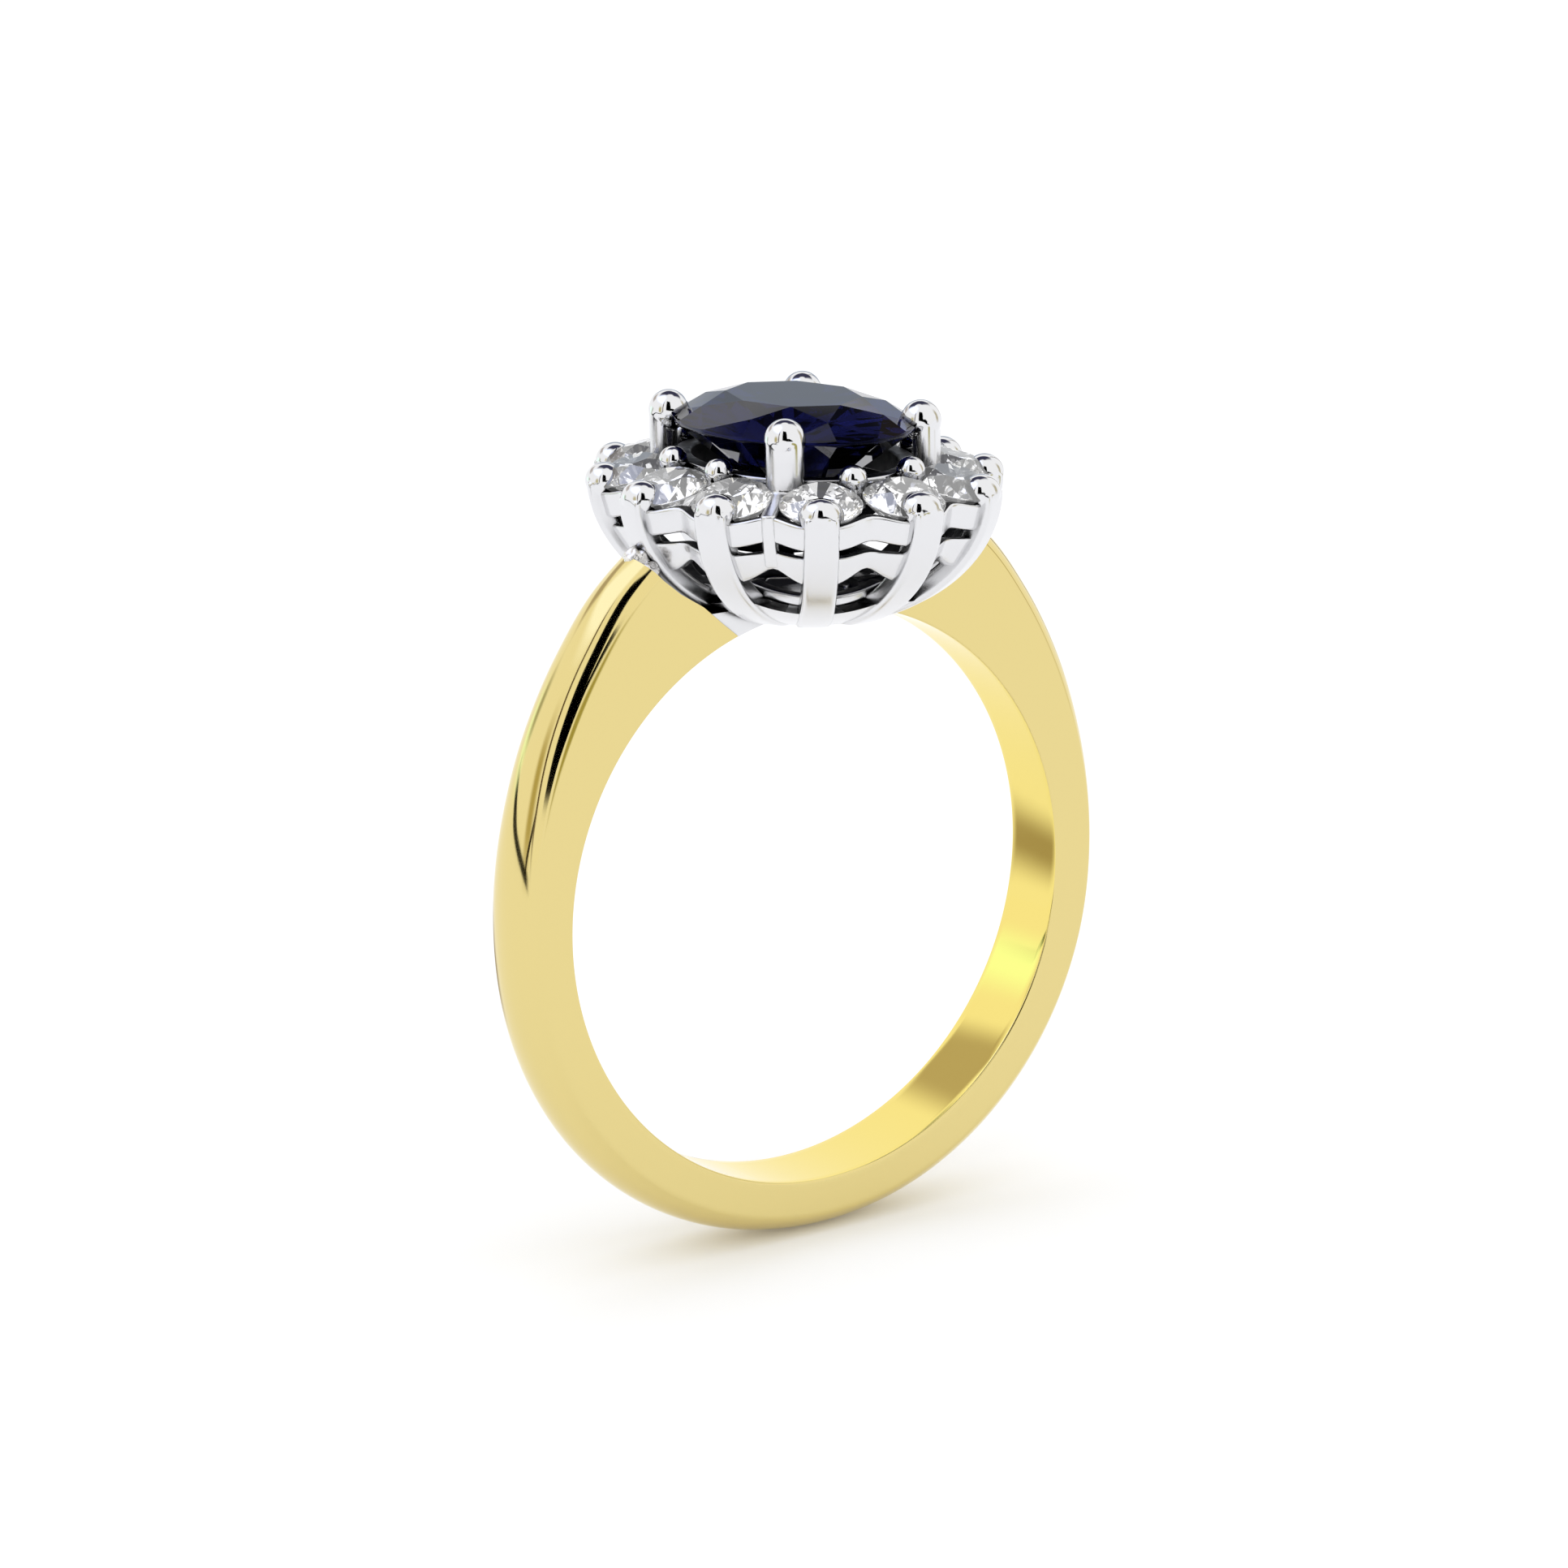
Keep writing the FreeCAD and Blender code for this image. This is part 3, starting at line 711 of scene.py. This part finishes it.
def base_loop(t):
    """Section of the head's dish at one oval parameter, standing on the bore."""
    low = halve(RIM_Z - DROP, LIP_DIP_Z, lambda z: z < bore_z(at(bowl(z, BASE_INSET), t).x))
    top_z = LIP_DIP_Z + LIP_RISE * arch(t)
    outer = []
    for i in range(9):
        z = low + (top_z - low) * i / 8
        outer.append(at(bowl(z, BASE_INSET), t, z))
    hole = at(BASE_HOLE, t)
    inner_edge = Vector((hole.x, hole.y, BASE_TOP_Z))
    top = [outer[-1].lerp(inner_edge, p) for p in (0.15, 0.5, 1)]
    under = []
    for i in range(5):
        spot = hole.lerp(outer[0], i / 5)
        under.append(Vector((spot.x, spot.y, bore_z(spot.x))))
    return outer + top + under


def foot_block():
    """Foot that the shank's ends meet, with a hollow underside on the bore."""
    half = FOOT_WIDTH / 2
    low_half = FOOT_HALF_BOTTOM + FOOT_FLARE
    loops = []
    for i in range(31):
        p = 2 * i / 30 - 1
        low = Vector((low_half * p, 0, bore_z(low_half * p)))
        high = Vector((FOOT_HALF_TOP * p, 0, FOOT_Z[1]))
        loops.append([low + Vector((0, half, 0)), high + Vector((0, half, 0)),
                      high - Vector((0, half, 0)), low - Vector((0, half, 0))])
    return loft(loops)


def head_base():
    """Dish and foot that complete the bore and carry the basket."""
    dish = loft([base_loop(i) for i in range(360)], closed=True)
    piece(union([dish, foot_block()]), "head_base", "white_gold", sharp=30, bevel=0.03,
          inside_below=ANY_HEIGHT, facing=0.0)


def claw_path(length, drop, share):
    """Reach and height on a claw's profile, from the rim at share 0 to the foot at 1."""
    swing = math.pi / 2 * share
    return (length * max(math.cos(swing), 0.0) ** (2 / BOWL_POWER),
            RIM_Z - drop * math.sin(swing) ** (2 / BOWL_POWER))


def halo_claw(i, t):
    """Flat bar with soft edges that climbs the basket to a bead over the outer edge of its stone."""
    start = at(FOOT, t)
    flare = at(RIM, t) - start
    direction = flare.normalized()
    across = Vector((0, 0, 1)).cross(direction) * CLAW_WIDTH

    def place(depth, share):
        reach, z = claw_path(flare.length - CLAW_THICKNESS * depth, DROP - CLAW_THICKNESS * depth, share)
        return start + direction * reach + Vector((0, 0, z))

    def is_clear(spot):
        return spot.z > bore_z(spot.x)

    section = rounded_square(0.20, 0.14)
    ends = [halve(0.5, 0.93, lambda share: is_clear(place(1 - u, share))) for u, v in section]
    loops = []
    steps = 44
    for k in range(steps + 1):
        loops.append([place(1 - u, end * k / steps) + across * (v - 0.5)
                      for (u, v), end in zip(section, ends)])
    bar = loft(loops)
    centre = start + direction * (flare.length - CLAW_BEAD_INSET) + Vector((0, 0, RIM_Z))
    turn = math.atan2(direction.y, direction.x)
    bead = ellipsoid(centre, CLAW_BEAD_RADII, turn)
    skin = soften(union([bar, bead]), voxel=0.035, rounds=6)
    piece(skin, "halo_claw_%02d" % (i + 1), "white_gold", sharp=180, inside_below=11.6, facing=-0.3)


def centre_claw(i, sign_x, sign_y):
    """Claw of the centre stone: a shaft with a bead on top and a strut below."""
    foot = Vector((sign_x * CENTRE_CLAW[0], sign_y * CENTRE_CLAW[1], 0))
    direction = foot.normalized()
    side = Vector((0, 0, 1)).cross(direction)
    section = rounded_square(0.45, 0.36, 6)
    loops = []
    for z in CENTRE_CLAW_LEVELS:
        loops.append([foot + direction * (u - 0.5) * CENTRE_CLAW_DEPTH + side * (v - 0.5) * CENTRE_CLAW_WIDTH
                      + Vector((0, 0, z)) for u, v in section])
    shaft = loft(loops)
    turn = math.atan2(direction.y, direction.x)
    centre = foot - direction * CENTRE_BEAD_INSET + Vector((0, 0, CENTRE_CLAW_TOP_Z))
    bead = ellipsoid(centre, CENTRE_BEAD_RADII, turn, segments=56)
    skin = soften(union([shaft, bead, strut(sign_x, sign_y)]), voxel=0.04, rounds=5)
    claw = piece(skin, "centre_claw_%d" % (i + 1), "white_gold", sharp=180, inside_below=12.2, facing=-0.3)
    claw.data.materials[0] = MATERIALS["white_gold_tall"]


def strut(sign_x, sign_y):
    """Lower part of a centre claw: out under the stones, then down along the rails' cusp."""
    cusp = cusp_angles()[1]
    spine = []
    for z in STRUT_LEVELS:
        spine.append(at(bowl(z, RAIL_INSET + CUSP_DEPTH - STRUT_PROUD), cusp, z))
    spine.append(Vector((*CENTRE_CLAW, STRUT_TOP_Z)))
    outward = Vector((*CENTRE_CLAW, 0)).normalized() * (RAIL_THICKNESS + STRUT_EXTRA)
    side = Vector((0, 0, 1)).cross(outward.normalized()) * STRUT_WIDTH
    loops = []
    for point in spine:
        loop = [point - outward * (1 - u) + side * (v - 0.5) for u, v in rounded_square(0.3, 0.3)]
        loops.append([Vector((sign_x * p.x, sign_y * p.y, p.z)) for p in loop])
    return loft(loops)


def halo_bead(i, t):
    """Post with a round head, turned as one profile."""
    foot = at(BEAD_SEMI, t)
    profile = list(BEAD_POST)
    for k in range(17):
        angle = math.radians(BEAD_START + (90 - BEAD_START) * k / 16)
        profile.append((BEAD_RADIUS * math.cos(angle), BEAD_Z + BEAD_RADIUS * math.sin(angle)))
    profile[-1] = (BEAD_TIP, profile[-1][1])
    loops = []
    for radius, z in profile:
        loops.append([foot + Vector((radius * math.cos(a), radius * math.sin(a), z))
                      for a in (2 * math.pi * n / 36 for n in range(36))])
    piece(loft(loops), "halo_bead_%d" % (i + 1), "white_gold", sharp=60)


def solder_joint(node, side):
    """Rough lump of solder between a shoulder's tip and the end claw."""
    lumps = [ellipsoid((side * x, y, z), (radius - SOLDER_SHRINK,) * 3) for radius, x, y, z in SOLDER_LUMPS]
    bm = union(lumps)
    bmesh.ops.triangulate(bm, faces=bm.faces)
    bmesh.ops.recalc_face_normals(bm, faces=bm.faces)
    bm.normal_update()
    for vert in bm.verts:
        vert.co += vert.normal * SOLDER_ROUGHNESS * noise.noise(vert.co * SOLDER_GRAIN)
    piece(bm, node, "white_solder", sharp=60)


# ---------------------------------------------------------------- stones

def facet_planes(table, crown, pavilion, girdle):
    """Planes (point, outward normal) of a brilliant of radius 1 whose girdle's top is at z 0."""
    star_reach = 0.56
    lower_radius = 0.22
    half_step = math.cos(math.radians(22.5))
    star = table + (1 - table) * star_reach
    star_z = crown * (1 - (star * half_step - table) / (1 - table))
    lower_z = -girdle - pavilion * (1 - lower_radius * half_step)
    planes = []

    def plane(a, b, c):
        normal = (b - a).cross(c - a).normalized()
        if normal.dot(a + b + c) < 0:
            normal.negate()
        planes.append((a, normal))

    for i in range(8):
        main = 45 * i
        half = main + 22.5
        round_main = at((1, 1), main)
        spin = at((1, 1), main + 90)
        plane(at((table, table), main, crown), round_main, round_main + spin)
        plane(at((table, table), main, crown), at((table, table), main + 45, crown),
              at((star, star), half, star_z))
        low_main = at((1, 1), main, -girdle)
        plane(Vector((0, 0, -girdle - pavilion)), low_main, low_main + spin)
        for turn in (-22.5, 22.5):
            near = main + turn
            plane(at((star, star), near, star_z), at((1, 1), near), round_main)
            plane(at((lower_radius, lower_radius), near, lower_z), at((1, 1), near, -girdle), low_main)
    return planes


def brilliant(scale, table, crown, pavilion, girdle):
    """Brilliant cut with flat facets and a round girdle, cut facet by facet from a rod."""
    spare = 0.2
    depth = crown + girdle + pavilion + spare
    bm = bmesh.new()
    bmesh.ops.create_cone(bm, cap_ends=True, segments=128, radius1=1, radius2=1, depth=depth)
    bmesh.ops.translate(bm, vec=(0, 0, crown - depth / 2), verts=bm.verts)
    for point, normal in facet_planes(table, crown, pavilion, girdle):
        geometry = bm.verts[:] + bm.edges[:] + bm.faces[:]
        cut = bmesh.ops.bisect_plane(bm, geom=geometry, dist=1e-6, plane_co=point, plane_no=normal,
                                     clear_outer=True)
        edges = [item for item in cut["geom_cut"] if isinstance(item, bmesh.types.BMEdge)]
        if len(edges) > 2:
            bmesh.ops.edgeloop_fill(bm, edges=edges)
    bmesh.ops.scale(bm, vec=(scale[0], scale[1], 1), verts=bm.verts)
    bmesh.ops.recalc_face_normals(bm, faces=bm.faces)
    for face in bm.faces:
        face.smooth = abs(face.normal.z) < 0.02
    return bm


def centre_stone():
    """Oval sapphire."""
    bm = brilliant(CENTRE_SEMI, table=0.563, crown=0.65, pavilion=2.50, girdle=0.17)
    bmesh.ops.translate(bm, vec=(0, 0, CENTRE_GIRDLE_Z), verts=bm.verts)
    piece(bm, "centre_sapphire", "sapphire", sharp=0)


def halo_stone(i, t):
    """Round diamond that leans out with the basket, each one turned by a different amount."""
    radius = HALO_STONE_RADIUS
    bm = brilliant((radius, radius), table=0.57, crown=0.32 * radius, pavilion=0.84 * radius,
                   girdle=0.07 * radius)
    direction = (at(RIM, t) - at(FOOT, t)).normalized()
    lean = Matrix.Rotation(math.radians(HALO_TILT), 4, Vector((0, 0, 1)).cross(direction))
    spin = Matrix.Rotation(math.radians(t + 17 * i), 4, "Z")
    place = Matrix.Translation(at(HALO_SEMI, t, HALO_Z))
    bmesh.ops.transform(bm, matrix=place @ lean @ spin, verts=bm.verts)
    piece(bm, "halo_diamond_%02d" % (i + 1), "diamond", sharp=0)


# ---------------------------------------------------------------- stage, light and camera

def floor():
    """Plain pale table under the ring."""
    level = CAD_BOUNDS[0][2]
    bpy.ops.mesh.primitive_plane_add(size=2.0, location=(0, 0, level))
    table = bpy.context.object
    table.name = "floor"
    table.data.materials.append(new_material("pale_floor", {
        "Base Color": (0.925, 0.93, 0.95, 1),
        "Roughness": 0.9,
        "Specular IOR Level": 0.0,
        "Emission Color": (1, 1, 1, 1),
        "Emission Strength": 0.08,
    })[0])


def world():
    """Plain white studio."""
    studio = bpy.data.worlds.new("studio")
    bpy.context.scene.world = studio
    studio.use_nodes = True
    background = studio.node_tree.nodes["Background"]
    background.inputs["Color"].default_value = (1, 1, 1, 1)
    background.inputs["Strength"].default_value = 1.10


def toward(azimuth, elevation):
    """Direction at an azimuth from the front, positive to the right, and an elevation, in degrees."""
    side, lift = math.radians(azimuth), math.radians(elevation)
    return Vector((math.sin(side) * math.cos(lift), -math.cos(side) * math.cos(lift), math.sin(lift)))


def soft_mask(tree, soft):
    """1 in the middle of a card and 0 at its edges, over the share soft of its half-width."""
    coords = tree.nodes.new("ShaderNodeTexCoord")
    split = tree.nodes.new("ShaderNodeSeparateXYZ")
    tree.links.new(coords.outputs["UV"], split.inputs["Vector"])
    both = tree.nodes.new("ShaderNodeMath")
    both.operation = "MULTIPLY"
    for i, axis in enumerate("XY"):
        fold = tree.nodes.new("ShaderNodeMath")
        fold.operation = "PINGPONG"
        fold.inputs[1].default_value = 0.5
        tree.links.new(split.outputs[axis], fold.inputs[0])
        ease = tree.nodes.new("ShaderNodeMapRange")
        ease.interpolation_type = "SMOOTHSTEP"
        ease.inputs["From Max"].default_value = soft / 2
        tree.links.new(fold.outputs["Value"], ease.inputs["Value"])
        tree.links.new(ease.outputs["Result"], both.inputs[i])
    return both.outputs["Value"]


def card_material(name, level, soft):
    """Glow of one level that fades out at the card's edges."""
    material = bpy.data.materials.new(name)
    material.use_nodes = True
    tree = material.node_tree
    tree.nodes.clear()
    glow = tree.nodes.new("ShaderNodeEmission")
    glow.inputs["Color"].default_value = (*level, 1)
    clear = tree.nodes.new("ShaderNodeBsdfTransparent")
    mix = tree.nodes.new("ShaderNodeMixShader")
    tree.links.new(soft_mask(tree, soft), mix.inputs["Fac"])
    tree.links.new(clear.outputs["BSDF"], mix.inputs[1])
    tree.links.new(glow.outputs["Emission"], mix.inputs[2])
    output = tree.nodes.new("ShaderNodeOutputMaterial")
    tree.links.new(mix.outputs["Shader"], output.inputs["Surface"])
    return material


def card(name, level, azimuth, elevation, wide, high, lean, slope, soft, centre, distance):
    """Patch of a sphere round a centre, seen only in reflections; sizes are in degrees.

    Over its whole height a card shifts sideways by lean, and over its whole width it climbs by slope.
    """
    steps = 24
    bm = bmesh.new()
    layer = bm.loops.layers.uv.new("across")
    places = {}
    for i in range(steps + 1):
        for j in range(steps + 1):
            u, v = j / steps - 0.5, i / steps - 0.5
            away = toward(azimuth + wide * u + lean * v, elevation + high * v + slope * u)
            places[bm.verts.new((Vector(centre) + away * distance) * MM)] = (u + 0.5, v + 0.5)
    verts = list(places)
    for quad in grid_faces(steps + 1, steps + 1, close_columns=False):
        face = bm.faces.new([verts[k] for k in quad])
        for loop in face.loops:
            loop[layer].uv = places[loop.vert]
    obj = bpy.data.objects.new(name, mesh_of(bm, name))
    bpy.context.scene.collection.objects.link(obj)
    obj.data.materials.append(card_material(name, level, soft))
    obj.visible_camera = False
    obj.visible_diffuse = False
    obj.visible_shadow = False


# Points that the cards are placed round
SHOULDER = (-8.5, -0.5, 4.5)
BORE_SIDE = (7.8, 0, -2.5)
CENTRE_STONE = (0, 0, 14)
# name, level, azimuth, elevation, width, height, lean, slope, softness, centre, distance in mm
CARDS = (
    ("camera_slot", (0, 0, 0), -33, 31, 29, 54, 0, -5.5, 0.12, SHOULDER, 300),
    ("tripod_slot", (0, 0, 0), -13, 12.5, 44, 17, -22, -6, 0.15, SHOULDER, 110),
    ("front_low", (0.46, 0.42, 0.14), 18, -4, 24, 12, 0, 0, 0.6, SHOULDER, 60),
    ("table_edge", (0, 0, 0), -113, -1, 92, 4.4, 0, -14, 0.35, SHOULDER, 50),
    ("tent_seam", (0.08, 0.04, 0.01), -67, 28, 7, 70, -2, 0, 0.5, SHOULDER, 100),
    ("seam_foot", (0.02, 0.01, 0), -76, 1.5, 20, 5, 0, 13, 0.35, SHOULDER, 55),
    ("tent_side", (0.58, 0.50, 0.24), -84, 12, 28, 46, 0, 0, 0.8, SHOULDER, 110),
    ("tent_back", (0.50, 0.52, 0.42), -152, 19, 24, 26, 0, 0, 0.9, SHOULDER, 25),
    ("top_light", (1.35, 1.45, 1.9), -115, 60, 110, 46, 0, 0, 0.4, SHOULDER, 300),
    ("back_low", (0.44, 0.38, 0.30), -142, -9, 40, 17, 0, 0, 0.9, BORE_SIDE, 22),
    ("back_window", (1.15, 1.45, 1.3), -142, 14, 34, 18, 0, 0, 0.9, BORE_SIDE, 60),
    ("back_mid", (0.56, 0.50, 0.46), -160, 35, 44, 17, 0, 0, 0.6, BORE_SIDE, 80),
    ("back_right", (0.46, 0.51, 0.59), 146, 12, 76, 26, 0, 0, 0.5, CENTRE_STONE, 20),
    ("back_top", (0.05, 0.05, 0.09), 146, 57, 150, 40, 0, 0, 0.4, CENTRE_STONE, 20),
    ("right_side", (0.56, 0.50, 0.34), 70, 18, 26, 60, 0, 0, 0.8, (0, 0, 0), 120),
    ("right_seam", (0.10, 0.06, 0.03), 118, 24, 5, 66, 0, 0, 0.5, (0, 0, 0), 120),
)


def camera():
    """Long lens from the left front, a little above the ring."""
    azimuth, elevation = -34.25, 14.62
    roll = math.radians(-0.87)
    distance = 148.5
    aim_side, aim_up = 0.47, -2.97
    back = toward(azimuth, elevation)
    level = toward(azimuth + 90, 0)
    upright = back.cross(level)
    right = level * math.cos(roll) + upright * math.sin(roll)
    up = upright * math.cos(roll) - level * math.sin(roll)
    place = back * distance - right * aim_side - up * aim_up
    data = bpy.data.cameras.new("camera")
    data.lens = 120.66
    data.sensor_width = 36.0
    data.clip_start = 0.01
    obj = bpy.data.objects.new("camera", data)
    bpy.context.scene.collection.objects.link(obj)
    turn = Matrix((right, up, back)).transposed().to_4x4()
    obj.matrix_world = Matrix.Translation(place * MM) @ turn
    bpy.context.scene.camera = obj


shank()
head_base()
scalloped_rail("mid_gallery_rail", (9.80, 10.70), (0.60, 0.15))
scalloped_rail("upper_gallery_rail", (10.90, 11.62), (0.26, 0.26))
lower_ring()
oval_ring("centre_seat_ring", (3.02, 4.02), 0.50, SEAT_Z, 0.08)
for index, angle_t in enumerate(HALO_T):
    halo_claw(index, angle_t)
    halo_stone(index, angle_t)
for index, signs in enumerate(((1, 1), (-1, 1), (-1, -1), (1, -1))):
    centre_claw(index, *signs)
for index, angle_t in enumerate(BEAD_T):
    halo_bead(index, angle_t)
solder_joint("solder_joint_right", 1)
solder_joint("solder_joint_left", -1)
centre_stone()

floor()
world()
for sizes in CARDS:
    card(*sizes)
camera()
bpy.context.scene.view_settings.view_transform = "Standard"
